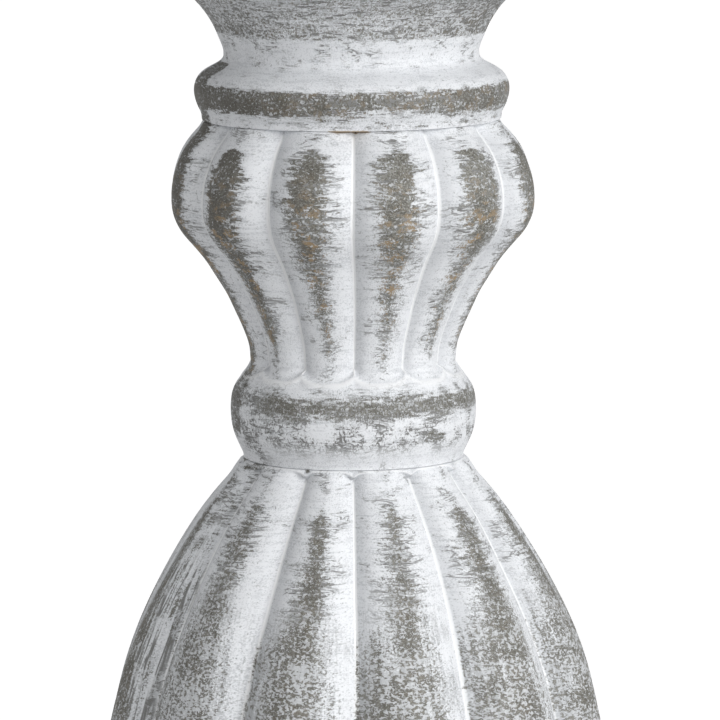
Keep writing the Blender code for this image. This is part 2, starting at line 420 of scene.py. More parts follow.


# ---------------------------------------------------------------- materials

# The white paint, as it is brushed on and as wear leaves it, and the white of its painted shade
# and painted highlight.
WHITE = colour(230, 232, 235)
RUBBED_WHITE = colour(174, 178, 182)
SMEARED_WHITE = colour(160, 164, 169)
SPECKLED_WHITE = colour(152, 155, 159)
# Painted shade: the grey laid on the left flanks of the lobes.
PAINTED_SHADE_WHITE = colour(128, 131, 136)
PITTED_WHITE = colour(120, 121, 120)
# Thick white paint, made whiter than the rest as a painted highlight.
THICK_WHITE_HIGHLIGHT = colour(240, 241, 242)

# The grey below it, and what shows in the grey.
GREY = colour(108, 106, 98)
CLOUDED_GREY = colour(134, 133, 126)
LIGHT_GREY = colour(170, 170, 165)
DARK_GREY = colour(76, 74, 67)
DEEP_GREY = colour(84, 81, 75)
SCRATCH_GREY = colour(94, 93, 89)
BARE_TAN = colour(166, 142, 108)
GLUE_BROWN = colour(160, 140, 112)
# The painted shade inside a pinhole, which the surface does not have.
PINHOLE_SHADE = colour(40, 36, 32)


def round_axis(paint):
    """The direction of a point from the axis, as x and y, and its distance and height."""
    x, y, z = paint.split(paint.place())
    radius = (x * x + y * y + 1e-8).root()
    return x / radius, y / radius, radius, z


def lathe_place(paint):
    """Coordinates on the turned surface: round it at the mean radius, and along its outline."""
    x, y, _, _ = round_axis(paint)
    return paint.vector(x * REACH, y * REACH, paint.attribute("along"))


def tailed(value):
    """Noise round zero, with its far values drawn out further."""
    return value * (1 + value * value * 16)


def wood_tint(paint):
    """Bare wood, its grain along the axis."""
    rings = paint.clouds(paint.scaled(paint.place(), (0.0030, 0.0030, 0.0400)), 3, 0.6, 0.3)
    pores = paint.clouds(paint.scaled(paint.place(), (0.0004, 0.0004, 0.0030)), 2, 0.6)
    tint = paint.mix(paint.ease(-0.15, 0.15, rings), colour(172, 140, 100), colour(198, 168, 128))
    return paint.mix(paint.ease(0.08, 0.20, pores) * 0.6, tint, colour(132, 98, 64))


def whitewash():
    """White paint brushed over grey, rubbed back on the high places. The strokes run round the
    axis, and where "drag" is 1 they run along it."""
    paint = Paint("whitewash")
    lathe = lathe_place(paint)
    rub, drag, dry, bare, deep, stain, valley, cracks, crackle, shade, raw = [
        paint.attribute(name) for name in WEAR_NAMES
    ]

    def marks(sizes, *settings, shift=(0, 0, 0)):
        """Noise on the turned surface: its sizes, then its detail, roughness and warp."""
        return paint.clouds(paint.scaled(lathe, sizes, shift), *settings)

    def threads(sizes, thin, thick, *settings, shift=(0, 0, 0)):
        """Thin lines on the turned surface: how large their loops are, and how wide they are."""
        return paint.threads(paint.scaled(lathe, sizes, shift), thin, thick, *settings)

    # Brush strokes, and the marks of every size in them.
    round_strokes = marks((0.0065, 0.0065, 0.00105), 3, 0.62, 0.35)
    long_strokes = marks((0.00110, 0.00110, 0.0160), 3, 0.62, 0.25, shift=(3, 7, 1))
    strokes = round_strokes + (long_strokes - round_strokes) * drag
    patches = marks((0.0085, 0.0085, 0.0070), 2, 0.55, shift=(5, 2, 9))
    grain = marks((0.00075, 0.00075, 0.00070), 3, 0.72, 0.6, shift=(1, 4, 2))
    fine = marks((0.00048, 0.00048, 0.00045), 2, 0.7, shift=(7, 3, 6))
    dots = marks((0.00085, 0.00085, 0.00080), 2, 0.6, 0.4, shift=(6, 5, 8))

    # Where the paint is worn through, with a ragged edge and flecks of white left in it.
    ragged = tailed(strokes) * (0.80 + patches * (2.4 - drag * 1.6))
    ragged = ragged + patches * (0.30 - drag * 0.22)
    edge = rub + ragged * (1 - dry * 0.25) + grain * (0.38 + dry * 0.10) + fine * dry * 1.45
    worn = paint.ease(-1.0, 1.0, (edge - 0.5) / (0.028 + dry * 0.070))
    halo = paint.ease(0.22, 0.50, edge)
    flecks = paint.ease(0.080, 0.145, dots + patches * 0.40 + fine * 0.35 + dry * 0.100)
    worn = worn * (1 - flecks * 0.85)

    # Dark scratches: lines and dashes round the axis, furrows along it, and veins of crackle.
    near = paint.ease(0.16, 0.44, rub + patches * 2.6 + grain * 0.9)
    lines = threads((0.0100, 0.0100, 0.0022), 0.012, 0.036, 3, 0.6, 0.9, shift=(8, 1, 3))
    lines = lines * near * (1 - drag) * cracks
    dashes = marks((0.0042, 0.0042, 0.00075), 2, 0.6, 0.2, shift=(2, 3, 7))
    dashes = paint.ease(0.09, 0.14, dashes + (rub - 0.44) * 0.25)
    dashes = dashes * (0.06 + near * 0.94) * (1 - drag)
    furrows = threads((0.0017, 0.0017, 0.0400), 0.016, 0.055, 2, 0.5, 0.2, shift=(2, 8, 5))
    furrows = furrows * (0.30 + near * 0.70) * drag * cracks
    creases = threads((0.0085, 0.0085, 0.0014), 0.018, 0.052, 3, 0.55, 0.4, shift=(4, 9, 2))
    ticks = threads((0.0016, 0.0016, 0.0034), 0.018, 0.052, 2, 0.5, 0.5, shift=(9, 2, 4))
    ticks = ticks * paint.ease(0.03, 0.07, patches + dots)
    veins = creases.larger(ticks) * crackle * paint.ease(-0.06, 0.06, patches + dots * 0.5)
    scratches = lines.larger(dashes).larger(furrows).larger(veins) * (1 - valley)

    # The white, thinner near the worn places and thick in the valleys, where it is painted whiter
    # as a highlight.
    white = paint.mix(halo * (0.28 + dry * 0.02), WHITE, RUBBED_WHITE)
    white = paint.mix(paint.ease(0.01, 0.13, strokes + fine * 0.6) * 0.24, white, SMEARED_WHITE)
    speckle = paint.ease(0.0, 0.10, fine + patches * 0.5)
    white = paint.mix(speckle * 0.22, white, SPECKLED_WHITE)
    # Painted shade: the left flank of each lobe, which faces away from the key light, is greyed.
    white = paint.mix(shade * 0.22, white, PAINTED_SHADE_WHITE)
    pits = paint.ease(-0.16, -0.24, dots + patches * 0.3 + fine * 0.3)
    white = paint.mix(pits * 0.55, white, PITTED_WHITE)
    # Thick clean paint in the valleys, on the waist lip and on the lower rim, painted whiter as a
    # highlight.
    white = paint.mix(paint.ease(0.25, 0.75, valley), white, THICK_WHITE_HIGHLIGHT)

    # The grey, with some bare wood in it.
    grey = paint.mix(paint.ease(-0.12, 0.12, patches + fine * 0.5), GREY, CLOUDED_GREY)
    grey = paint.mix(paint.ease(0.00, 0.12, fine) * 0.60, grey, LIGHT_GREY)
    grey = paint.mix(paint.ease(0.02, -0.14, grain + fine * 0.4) * 0.65, grey, DARK_GREY)
    grey = paint.mix(deep * 0.62, grey, DEEP_GREY)
    tan = marks((0.0040, 0.0040, 0.0030), 3, 0.6, shift=(2, 6, 4))
    grey = paint.mix(paint.ease(0.00, 0.12, tan + grain * 0.35) * bare * 0.80, grey, BARE_TAN)

    base = paint.mix(worn, white, grey)
    base = paint.mix(scratches * 0.85 * (1 - worn), base, SCRATCH_GREY)
    # Brown glue, and near 1 the painted shade of a pinhole.
    glue = paint.mix(paint.ease(0.80, 1.00, stain), GLUE_BROWN, PINHOLE_SHADE)
    base = paint.mix(paint.ease(0.35, 0.60, stain + grain * 0.6) * 0.85, base, glue)
    base = paint.mix(raw, base, wood_tint(paint))

    height = (1 - worn) * 0.5 + strokes * 0.5 + grain * 0.4 - scratches * 0.4 + valley * 1.2
    return paint.finish(
        Base_Color=base,
        Roughness=0.60 - worn * 0.06,
        Normal=paint.bump(height, 0.00030, 0.75),
    )


def dowel_wood():
    """Bare beech."""
    paint = Paint("dowel_beech")
    pores = paint.clouds(paint.scaled(paint.place(), (0.0004, 0.0004, 0.0030)), 2, 0.6)
    return paint.finish(
        Base_Color=wood_tint(paint), Roughness=0.72, Normal=paint.bump(pores, 0.0001, 0.5)
    )


def pressed_sheet():
    """Dull tinned sheet, brushed round its middle, with a few dark spots."""
    paint = Paint("pressed_sheet")
    x, y, radius, _ = round_axis(paint)
    turned = paint.vector(x * 0.01, y * 0.01, radius)
    brushed = paint.clouds(paint.scaled(turned, (0.0080, 0.0080, 0.00035)), 3, 0.65)
    cloudy = paint.clouds(paint.scaled(paint.place(), (0.012, 0.012, 0.012)), 3, 0.6)
    spots = paint.clouds(paint.scaled(paint.place(), (0.0016, 0.0016, 0.0016), (2, 5, 1)), 2, 0.6)
    spots = paint.ease(0.14, 0.20, spots + cloudy * 0.2)
    tint = paint.mix(paint.ease(-0.15, 0.15, cloudy), colour(146, 147, 148), colour(176, 177, 178))
    tint = paint.mix(paint.ease(-0.12, 0.12, brushed) * 0.35, tint, colour(124, 124, 124))
    tint = paint.mix(spots * 0.6, tint, colour(86, 80, 72))
    return paint.finish(
        Base_Color=tint,
        Metallic=1.0,
        Roughness=0.42 + brushed * 0.35 + cloudy * 0.3 + spots * 0.2,
        Normal=paint.bump(brushed, 0.00006, 0.6),
    )


def turned_steel(name, light, dark, roughness):
    """Steel off the lathe: fine rings round the axis, a little clouded."""
    paint = Paint(name)
    x, y, z = paint.split(paint.place())
    rings = paint.clouds(paint.vector(x * 60, y * 60, z / 0.00022), 2, 0.6)
    cloudy = paint.clouds(paint.scaled(paint.place(), (0.004, 0.004, 0.004)), 3, 0.6)
    tint = paint.mix(paint.ease(-0.15, 0.15, cloudy + rings * 0.4), dark, light)
    return paint.finish(
        Base_Color=tint,
        Metallic=1.0,
        Roughness=roughness + cloudy * 0.3 + rings * 0.1,
        Normal=paint.bump(rings, 0.00003, 0.5),
    )


def pressed_felt():
    """Dark grey pressed felt."""
    paint = Paint("pressed_felt")
    hairs = paint.clouds(paint.scaled(paint.place(), (0.0006, 0.0006, 0.0002)), 4, 0.75, 1.5)
    lint = paint.clouds(paint.scaled(paint.place(), (0.0022, 0.0022, 0.0022), (1, 2, 3)), 2, 0.6)
    mottle = paint.ease(-0.15, 0.15, hairs + lint * 0.4)
    tint = paint.mix(mottle, colour(42, 43, 42), colour(88, 89, 87))
    return paint.finish(Base_Color=tint, Roughness=0.95, Normal=paint.bump(hairs, 0.0003, 0.8))


def studio_floor():
    """A plain pale floor that the camera sees as white, and that throws back less light."""
    paint = Paint("floor_white")
    seen = paint.node("ShaderNodeLightPath", {}, output="Is Camera Ray")
    return paint.finish(
        Base_Color=paint.mix(seen, (0, 0, 0, 1), (0.90, 0.90, 0.90, 1)),
        Emission_Color=paint.mix(seen, (*[FLOOR_BOUNCE] * 3, 1), (*[FLOOR_GLOW] * 3, 1)),
        Emission_Strength=1.0,
        Roughness=0.9,
    )


# ---------------------------------------------------------------- wooden blocks


def uneven(lobe, height, seed, size=60):
    """A smooth value from -1 to 1 that differs from lobe to lobe."""
    return noise.noise(Vector((lobe * 3.7 + seed, height * size, seed * 1.3)))


def facing(point):
    """The angle round the axis: 0 at the front, growing to the right."""
    return math.atan2(point.x, -point.y)


def chipped(angle, height, seed):
    """1 on the ragged chip that both upper beads have at the left."""
    right_end = -1.18 + 0.06 * uneven(seed, height, 3.0, 300)
    left_end = -1.52 + 0.16 * uneven(seed, height, 8.0, 260)
    return ease(right_end + 0.03, right_end - 0.03, angle) * ease(left_end - 0.10, left_end, angle)


def glue_line(angle, height, seam):
    """The brown glue that was pressed out at the front of a seam."""
    return spot(height, seam, 0.0010) * min(1.0, 1.7 * spot(angle, -0.02, 0.24)) * 0.72


def wear_of(rub, **others):
    """The wear values of a point, 0 where none is given."""
    values = dict.fromkeys(WEAR_NAMES, 0.0)
    values.update(cracks=0.6, rub=rub, along=0.0)
    values.update(others)
    return values


# How dark the grey is on each lobe, from 0 to 1, and the lobes with long streaks low down.
DARK_LOBES = {11: 0.35, 10: 0.9, 9: 1.0, 8: 0.8, 7: 0.3, 5: 0.5, 2: 0.2}
STREAKED_LOBES = (8, 9)


def upper_bulb():
    """The small carved bulb, with the round bead below it."""
    low = LOWER_FACE + HALF_GAP
    top = UPPER_FACE + HALF_GAP
    waist = (0.0286, low + 0.0268)
    bead = smooth(
        [
            (0.0309, low + 0.0001),
            (0.0308, low + 0.0008),
            (0.0313, low + 0.0021),
            (0.0336, low + 0.0065),
            (0.0346, low + 0.0115),
            (0.0344, low + 0.0170),
            (0.0335, low + 0.0202),
            (0.0315, low + 0.0228),
            (0.0296, low + 0.0246),
            waist,
        ],
        1,
    )
    bulb = smooth(
        [
            waist,
            (0.0291, low + 0.0290),
            (0.0301, 0.2130),
            (0.0320, 0.2178),
            (0.0341, 0.2223),
            (0.0362, 0.2268),
            (0.0391, 0.2313),
            (0.0421, 0.2360),
            (0.0457, 0.2403),
            (0.0489, 0.2440),
            (0.0510, 0.2482),
            (0.0517, 0.2525),
            (0.0513, 0.2584),
            (0.0490, 0.2652),
            (0.0459, 0.2696),
            (0.0436, 0.2720),
            (0.0425, top - 0.0007),
            (0.0420, top - 0.0001),
        ],
        2,
    )
    ends = [(0.0419, top), (0.0405, top), (CORE_RADIUS, top)]
    outline = [(CORE_RADIUS, low), (0.0308, low), *bead, *bulb[1:], *ends]
    piece = turn("upper_bulb_carved", outline)

    def lobe_end(across):
        return low + 0.0243 + 0.0021 * abs(across) ** 3

    def share(across, height):
        end = lobe_end(across)
        begun = ease(end, end + 0.0014, height)
        deep = between(height, [(0.21, 0.088), (0.23, 0.086), (0.26, 0.086), (top, 0.096)])
        bulge = 0.026 * ease(end + 0.0085, end + 0.0012, height) * (1 - 0.5 * across**2)
        lip = 0.015 * ridge(height, end - 0.0007, 0.0011)
        return 1 + begun * (bulge - deep * round_lobe(across)) + lip

    carve(piece, share, low + 0.0200, top + 0.001)
    crisp_valleys(piece, low + 0.0278, top - 0.0002)

    def wear(lobe, across, point):
        height, angle = point.z, facing(point)
        end = lobe_end(across)
        if height > end:
            wide = between(
                height,
                [
                    (low + 0.0268, -0.22),
                    (low + 0.0330, 0.08),
                    (0.218, 0.15),
                    (0.226, 0.19),
                    (0.236, 0.28),
                    (0.246, 0.38),
                    (0.256, 0.40),
                    (top - 0.0085, 0.36),
                    (top - 0.0062, 0.26),
                    (top - 0.0048, -0.10),
                ],
            )
            wide += 0.08 * uneven(lobe, height, 4.1) + 0.05 * uneven(lobe, height, 7.7, 160)
            shift = 0.16 * uneven(lobe, height, 9.2, 35)
            if lobe == 9:
                wide = 0.40 + 0.15 * uneven(lobe, height, 4.1, 200)
            rub = 0.5 + (wide - abs(across - shift)) * 0.85 - 0.07 * across
            bare = ease(0.8, 0.2, abs(across)) * between(
                height, [(0.212, 0.6), (0.232, 1.0), (0.246, 1.0), (0.257, 0.4), (0.265, 0.0)]
            )
            # A pinhole at the front, just below the seam: painted shade, since the surface has no
            # hole.
            from_pinhole = math.hypot(angle * 0.0425 - 0.0005, height - top + 0.0002)
            pinhole = ease(0.0009, 0.0004, from_pinhole)
            return wear_of(
                rub,
                bare=bare,
                deep=DARK_LOBES.get(lobe, 0.0) * ease(0.215, 0.240, height),
                dry=between(height, [(0.214, 0.9), (0.240, 0.7), (0.254, 0.35), (0.263, 0.1)])
                * (1 - 0.6 * DARK_LOBES.get(lobe, 0.0)),
                stain=max(glue_line(angle, height, top), pinhole),
                # Thick paint along the valley, painted whiter as a highlight line.
                valley=max(0.0, 1 - (1 - abs(across)) / 0.09)
                * ease(top - 0.0004, top - 0.002, height),
                # Painted shade on the left flank of the lobe, fading out near the top.
                shade=ease(-0.45, -0.88, across) * ease(top - 0.001, top - 0.006, height),
                cracks=0.75,
            )
        band = low + 0.0176 + 0.0016 * noise.noise(Vector((angle * 1.3, 2.0, 1.0)))
        thick = 0.0024 + 0.0018 * noise.noise(Vector((angle * 2.2, 5.0, 3.0)))
        left = spot(angle, -1.02, 0.24)
        rub = max(
            0.51 + min(thick - abs(height - band), 0.0014) / 0.011 - 0.22 * left,
            0.16 * spot(height, low + 0.0105, 0.0080),
            0.56 * min(1.0, 1.8 * spot(height, low + 0.0088, 0.0032) * spot(angle, 0.70, 0.26)),
        )
        chip = chipped(angle, height, 1.0) * ease(low + 0.0050, low + 0.0070, height)
        rub = max(rub, 0.53 * chip)
        # The lip at the waist: thick paint, painted whiter as a highlight.
        valley = 0.58 * ridge(height, end - 0.0007, 0.0014)
        crackle = min(1.0, 1.6 * spot(height, low + 0.0115, 0.0100) + left)
        return wear_of(
            rub,
            dry=0.15 + 0.30 * ease(low + 0.0120, low + 0.0150, height),
            deep=max(chip, 0.30),
            valley=valley,
            cracks=0.5,
            crackle=max(crackle, chip),
        )

    record_wear(piece, outline, wear)
    work_by_hand(piece, 3.0, 0.022, 0.010, 0.012)
    return piece


def lower_bulb():
    """The large carved bulb, with the round bead below it."""
    low = FOOT_FACE + HALF_GAP
    top = LOWER_FACE + HALF_GAP
    waist = (0.0488, 0.0530)
    bead = smooth(
        [
            (0.0462, low + 0.0002),
            (0.0478, low + 0.0015),
            (0.0520, low + 0.0055),
            (0.0535, low + 0.0100),
            (0.0524, low + 0.0150),
            (0.0504, low + 0.0178),
            waist,
        ],
        1,
    )
    bulb = smooth(
        [
            waist,
            (0.0500, 0.0543),
            (0.0530, 0.0565),
            (0.0600, 0.0640),
            (0.0660, 0.0730),
            (0.0703, 0.0850),
            (0.0717, 0.0970),
            (0.0702, 0.1075),
            (0.0661, 0.1225),
            (0.0603, 0.1365),
            (0.0527, 0.1505),
            (0.0443, 0.1637),
            (0.0370, 0.1725),
            (0.0326, top - 0.0024),
            (0.0315, top - 0.0010),
            (0.0310, top - 0.0001),
        ],
        2,
    )
    ends = [(0.0309, top), (0.0290, top), (CORE_RADIUS, top)]
    outline = [(CORE_RADIUS, low), (0.0440, low), *bead, *bulb[1:], *ends]
    piece = turn("lower_bulb_carved", outline)

    def lobe_end(across):
        return waist[1] + 0.0008 + 0.0040 * abs(across) ** 3

    def lobe_start(across):
        return top - 0.0004 - 0.0016 * abs(across) ** 5

    def share(across, height):
        end, start = lobe_end(across), lobe_start(across)
        begun = ease(end, end + 0.0025, height) * ease(start + 0.0002, start - 0.0009, height)
        deep = between(height, [(0.06, 0.080), (0.08, 0.088), (0.155, 0.100), (top, 0.112)])
        bulge = 0.016 * ease(end + 0.0110, end + 0.0020, height)
        crown = 0.030 * ease(start - 0.0060, start - 0.0010, height)
        lip = 0.010 * ridge(height, end - 0.0006, 0.0009)
        rim = 0.004 * ridge(height, start + 0.0001, 0.0005)
        crest = bulge + crown * (1 - 0.5 * across**2)
        return 1 + begun * (crest - deep * round_lobe(across)) + lip + rim

    carve(piece, share, waist[1] - 0.0030, top - 0.0001)
    crisp_valleys(piece, waist[1] + 0.0060, top - 0.0030)

    def slipped(point):
        """One valley strays to the right towards its upper end."""
        return 0.080 * spot(facing(point), -0.52, 0.50) * ease(0.095, top, point.z)

    def wear(lobe, across, point):
        height, angle = point.z, facing(point)
        end, start = lobe_end(across), lobe_start(across)
        if height > end:
            wide = between(
                height,
                [
                    (0.056, -0.1),
                    (0.064, 0.42),
                    (0.090, 0.72),
                    (0.115, 0.72),
                    (0.128, 0.58),
                    (0.140, 0.36),
                    (0.155, 0.23),
                    (top - 0.0125, 0.20),
                    (top - 0.0095, 0.02),
                    (top - 0.0080, -0.16),
                ],
            )
            wide += 0.10 * uneven(lobe, height, 2.1) + 0.06 * uneven(lobe, height, 5.5, 140)
            shift = 0.16 * uneven(lobe, height, 6.2, 30)
            if lobe == 10:
                shift += 0.18 * ease(0.150, 0.125, height)
            streaked = lobe in STREAKED_LOBES
            late = 0.010 * uneven(lobe, 0.0, 3.3) + (0.020 if streaked else 0.0)
            drag = ease(0.153 + late, 0.130 + late, height)
            rub = 0.5 + (wide - abs(across - shift)) * (0.80 - 0.36 * drag)
            rub -= across * (0.07 + 0.17 * drag)
            if lobe == 9:
                rub = max(rub, 0.43)
            # The rim at the top and the valleys: thick paint, painted whiter as a highlight.
            rim = 0.5 * ridge(height, start + 0.0002, 0.0006)
            valley = max(0.0, 1 - (1 - abs(across)) / 0.08) * ease(start, start - 0.0020, height)
            notch = spot(angle, -0.50, 0.05) * spot(height, top, 0.0022)
            rough = spot(angle, -1.05, 0.40) * spot(height, top, 0.0060)
            rub = max(rub, 0.75 * notch, 0.56 * rough)
            return wear_of(
                rub,
                drag=drag,
                dry=between(height, [(0.118, 1.0), (0.145, 0.7), (0.165, 0.4)])
                * (0.5 if lobe == 9 else 1.0),
                bare=0.08 * ease(0.6, 0.1, abs(across)),
                deep=max(0.2 + 0.4 * DARK_LOBES.get(lobe, 0.0), notch, rough),
                valley=max(valley, rim) * (1 - notch),
                # Painted shade on the left flank of the lobe.
                shade=ease(-0.45, -0.88, across),
                cracks=0.8 * (1 - drag) + (1.0 if streaked else 0.12) * drag,
            )
        band = low + 0.0100
        rub = 0.5 + (0.0036 - abs(height - band)) / 0.011
        return wear_of(rub, dry=0.4, bare=0.2, cracks=0.8)

    record_wear(piece, outline, wear)
    for vertex in piece.data.vertices:
        vertex.co.xy = Matrix.Rotation(slipped(vertex.co), 2) @ vertex.co.xy
    work_by_hand(piece, 8.0, 0.020, 0.008)
    return piece


def dish():
    """The dish, with its bead and its coved neck."""
    low = UPPER_FACE + HALF_GAP
    bead = smooth(
        [
            (0.0418, low + 0.0001),
            (0.0419, low + 0.0009),
            (0.0421, low + 0.0022),
            (0.0432, low + 0.0043),
            (0.0441, low + 0.0078),
            (0.0436, low + 0.0110),
            (0.0416, low + 0.0135),
            (0.0374, low + 0.0157),
            (0.0358, low + 0.0172),
        ],
        2,
    )
    cove = smooth(
        [
            (0.0358, low + 0.0172),
            (0.0357, low + 0.0195),
            (0.0370, 0.2975),
            (0.0390, 0.3020),
            (0.0425, 0.3070),
            (0.0475, 0.3115),
            (0.0545, 0.3153),
            (DISH_RADIUS - 0.0045, 0.3185),
        ],
        2,
    )
    rim = (DISH_RADIUS - 0.0055, DISH_TOP - 0.0055)
    lip = arc(rim, 0.0055, -60, 90, 6)
    recess = PAN_RADIUS + 0.0018
    floor = RECESS_FLOOR
    inside = [
        (recess + 0.0030, DISH_TOP),
        (recess + 0.0006, DISH_TOP - 0.0001),
        (recess, DISH_TOP - 0.0007),
        (recess, floor + 0.0004),
        (recess - 0.0004, floor),
        (recess - 0.0020, floor),
        (0.0086, floor),
        (0.0083, floor - 0.0001),
        (0.0083, floor - 0.0028),
    ]
    outline = [(CORE_RADIUS, low), (0.0417, low), *bead, *cove[1:], *lip, *inside]
    piece = turn("dish_turned", outline)

    def wear(lobe, across, point):
        height, radius, angle = point.z, point.xy.length, facing(point)
        side = math.sin(angle)
        if height < low + 0.0165:
            band = low + 0.0073 + 0.0005 * noise.noise(Vector((angle * 1.5, 8.0, 1.0)))
            fade = 0.0035 if height > band else 0.007
            rub = 0.5 + min(0.0034 - abs(height - band), 0.0018) / fade
            rub = max(rub, 0.39 * min(1.0, 1.5 * spot(height, low + 0.0024, 0.0032)))
            patchy = spot(angle, 0.30, 0.55) * spot(height, low + 0.0052, 0.0026)
            rub -= 0.30 * patchy
            chip = chipped(angle, height, 2.0)
            rub = max(rub, 0.56 * chip)
            left = ease(-0.1, -0.9, angle)
            return wear_of(
                rub,
                dry=0.45 - 0.45 * left,
                bare=0.30 * (1 - left),
                deep=max(0.4 + 0.6 * left, chip),
                stain=glue_line(angle, height, low),
                cracks=0.35,
                crackle=max(0.6 * patchy, chip),
            )
        if radius < recess + 0.001 and height > 0.32:
            rub = 0.22 + 0.2 * spot(radius, recess, 0.002)
            return wear_of(rub, dry=0.4, along=DISH_RADIUS - radius)
        if height > DISH_TOP - 0.0025 or radius > DISH_RADIUS - 0.0020:
            inwards = (DISH_RADIUS - radius) * (height > DISH_TOP - 0.0055)
            return wear_of(0.54, dry=0.8, bare=0.4, cracks=0.9, along=inwards)
        cover = ease(0.2982, 0.3000, height) + 0.16 * spot(height, 0.3004, 0.0022)
        rub = 0.17 + 0.05 * side + (0.33 + 0.17 * side**2) * cover
        return wear_of(
            rub,
            dry=0.2 + 0.8 * cover,
            bare=0.12,
            deep=cover * 0.60 * ease(0.2, 0.9, abs(side)),
            cracks=0.85 * (1 - cover),
        )

    record_wear(piece, outline, wear)
    work_by_hand(piece, 5.0, 0.0, 0.004)
    return piece


def foot():
    """The turned foot, with its three screw pockets below."""
    top = FOOT_FACE + HALF_GAP
    bottom = FOOT_BOTTOM
    edge = FOOT_RADIUS
    rim = [
        (edge - 0.0045, bottom),
        *arc((edge - 0.0030, bottom + 0.0030), 0.0030, -80, 0, 3),
        *arc((edge - 0.0030, bottom + 0.0080), 0.0030, 0, 80, 3),
    ]
    cove = smooth(
        [
            (edge - 0.0045, bottom + 0.0118),
            (0.0610, 0.0170),
            (0.0520, 0.0220),
            (0.0475, 0.0275),
            (0.0464, top - 0.0002),
        ],
        3,
    )
    ends = [(0.0460, top), (0.0440, top), (CORE_RADIUS, top)]
    below = [(0.0100, bottom), (edge - 0.0200, bottom), (edge - 0.0070, bottom)]
    outline = [*below, *rim, *cove, *ends]
    piece = turn("foot_turned", outline)
    for number in (1, 2, 3):
        low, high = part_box(f"foot_screw_{number}")
        bpy.ops.object.select_all(action="DESELECT")
        bpy.ops.mesh.primitive_cylinder_add(
            vertices=48,
            radius=(high.x - low.x) / 2 + GAP,
            depth=2 * (low.z - bottom + 0.0030),
            location=((low.x + high.x) / 2, (low.y + high.y) / 2, bottom),
        )
        pocket = bpy.context.object
        bpy.context.view_layer.objects.active = piece
        cut = piece.modifiers.new("pocket", "BOOLEAN")
        cut.object = pocket
        cut.operation = "DIFFERENCE"
        cut.solver = "EXACT"
        bpy.ops.object.modifier_apply(modifier=cut.name)
        bpy.data.objects.remove(pocket)

    def wear(lobe, across, point):
        height, radius = point.z, point.xy.length
        if height < bottom + 0.0004 or radius < 0.030 and height < 0.010:
            return wear_of(0.0, raw=ease(edge - 0.0040, edge - 0.0055, radius))
        rub = 0.5 + (0.0036 - abs(height - bottom - 0.0060)) / 0.012
        if height > bottom + 0.0110:
            rub = max(0.28, 0.45 * spot(radius, edge - 0.008, 0.006))
        return wear_of(rub, dry=0.5, bare=0.4, cracks=0.8)

    record_wear(piece, outline, wear)
    return piece


# ---------------------------------------------------------------- metal and felt


def ring(name, outline, sides):
    """A closed turned ring, whose outline comes back to where it starts."""
    piece = draw_out(name, [*outline, outline[0]], sides)
    bpy.ops.object.mode_set(mode="EDIT")
    bpy.ops.mesh.select_all(action="SELECT")
    bpy.ops.mesh.remove_doubles(threshold=0.000002)
    bpy.ops.mesh.select_all(action="SELECT")
    bpy.ops.mesh.normals_make_consistent(inside=False)
    bpy.ops.object.mode_set(mode="OBJECT")
    bpy.ops.object.shade_smooth()
    return piece


def drip_pan():
    """The pressed pan: a flat floor, a rounded corner, a flared wall and a rolled rim."""
    bottom, top, rim = PAN_BOTTOM, PAN_TOP, PAN_RADIUS
    sheet = 0.0010
    hole = 0.0030
    floor = 0.0445
    roll = 0.0008
    middle = (rim - roll, top - roll)
    outline = [
        (hole, bottom),
        (hole + 0.0016, bottom),
        (0.0200, bottom),
        (floor - 0.0030, bottom),
        *arc((floor - 0.0018, bottom + 0.0026), 0.0026, -88, -20, 6),
        (rim - 0.0019, top - 0.0022),
        *arc(middle, roll, -60, 190, 12),
        *arc((floor - 0.0018, bottom + 0.0026), 0.0026 - sheet, -20, -88, 5),
        (floor - 0.0034, bottom + sheet),
        (0.0200, bottom + sheet),
        (hole + 0.0016, bottom + sheet),
        (hole + 0.0004, bottom + sheet),
        (hole, bottom + sheet - 0.0003),
        (hole, bottom + 0.0003),
    ]
    piece = ring("drip_pan_pressed", outline, 192)
    bpy.ops.object.shade_smooth_by_angle(angle=math.radians(50))
    return piece


def spike():
    """The turned spike with its collar and its shank."""
    low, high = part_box("spike")
    collar = RECESS_FLOOR
    outline = [
        (0.0004, low.z),
        (0.0020, low.z + 0.0040),
        (0.0028, low.z + 0.0070),
        (0.0028, collar - 0.0026),
        (0.0080, collar - 0.0025),
        (0.0080, collar - 0.0003),
        (0.0077, collar),
        (0.0026, collar),
        (0.0024, collar + 0.0003),
        (0.0024, high.z - 0.0110),
        (0.0018, high.z - 0.0068),
        (0.0009, high.z - 0.0026),
        (0.0004, high.z - 0.0008),
        (0.0001, high.z),
    ]
    piece = turn("spike_turned", outline, 48, 0)
    bpy.ops.object.shade_smooth_by_angle(angle=math.radians(35))
    return piece


def felt_pad(number):
    """A soft-edged felt disc, in the place of its plain one."""
    low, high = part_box(f"felt_pad_{number}")
    radius, thick = (high.x - low.x) / 2, high.z - low.z
    outline = [
        (radius * 0.5, low.z),
        (radius - 0.0006, low.z),
        (radius - 0.0001, low.z + thick * 0.20),
        (radius, low.z + thick * 0.5),
        (radius - 0.0001, low.z + thick * 0.80),
        (radius - 0.0005, high.z),
        (radius * 0.5, high.z),
    ]
    piece = turn(f"felt_pad_soft_{number}", outline, 48, 0)
    for vertex in piece.data.vertices:
        vertex.co.x += (low.x + high.x) / 2
        vertex.co.y += (low.y + high.y) / 2
    return piece


# ---------------------------------------------------------------- the whole


def mount(piece, body, material, slot, *nodes):
    """Gives a piece its material and its place in the frame."""
    piece.data.materials.clear()
    piece.data.materials.append(material)
    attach(piece, body)
    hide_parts(*nodes)


def dress(material, *names):
    """Gives plain nodes of the frame their finish."""
    for name in names:
        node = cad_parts[name]
        for place in node.material_slots:
            place.material = material


